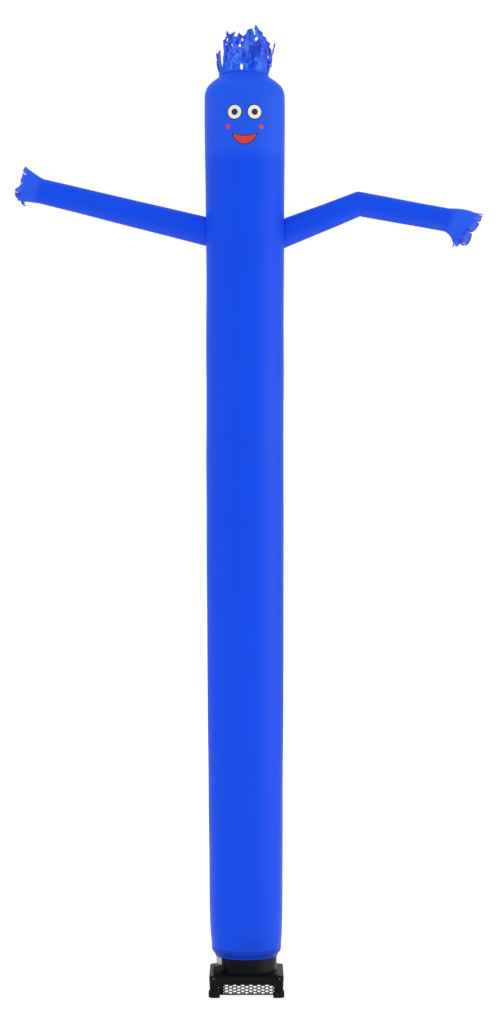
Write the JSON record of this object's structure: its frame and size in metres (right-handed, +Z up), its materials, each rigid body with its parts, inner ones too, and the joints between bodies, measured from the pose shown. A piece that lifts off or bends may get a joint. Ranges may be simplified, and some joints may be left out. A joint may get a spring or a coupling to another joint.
{
  "type": "inflatable air dancer on a fan blower",
  "caption": "Tall inflated cloth tube figure with arms, cut cuffs and a fringe of hair, standing on the drum of a square fan blower with side grilles and a rocker switch.",
  "frame": {"origin": "on the ground, under the middle of the blower's base", "axes": "+Z up, +X to the right of someone who faces the dancer, +Y away from them, so the face looks along -Y"},
  "size_m": [2.7992, 0.4828, 5.7829],
  "materials": {
    "nylon_blue": "thin coated nylon, smooth, a soft sheen",
    "steel_black": "black powder coat, satin",
    "mesh_black": "black painted expanded metal",
    "rubber_black": "matt black rubber",
    "plastic_black": "moulded black plastic",
    "plastic_red": "dark red translucent switch plastic",
    "screw_steel": "plain steel screw heads"
  },
  "bodies": {
    "dancer": {"body_tube": "nylon_blue", "arm_left": "nylon_blue", "arm_right": "nylon_blue", "hand_left": "nylon_blue", "hand_right": "nylon_blue", "hair_fringe": "nylon_blue", "blower_housing": "steel_black", "blower_drum": "steel_black", "grille_front": "mesh_black", "grille_right": "mesh_black", "grille_back": "mesh_black", "grille_left": "mesh_black", "foot_front_left": "rubber_black", "foot_front_right": "rubber_black", "foot_back_left": "rubber_black", "foot_back_right": "rubber_black", "switch_box": "plastic_black", "cord_gland": "plastic_black", "screw_front_left": "screw_steel", "screw_front_right": "screw_steel", "screw_back_left": "screw_steel", "screw_back_right": "screw_steel"},
    "rocker": {"rocker": "plastic_red"}
  },
  "joints": [
    {"name": "switch_rock", "type": "hinge", "parent": "dancer", "child": "rocker", "pos_m": [-0.1775, -0.15238, 0.15338], "axis": [1, 0, 0], "range_deg": [-14, 0]}
  ]
}
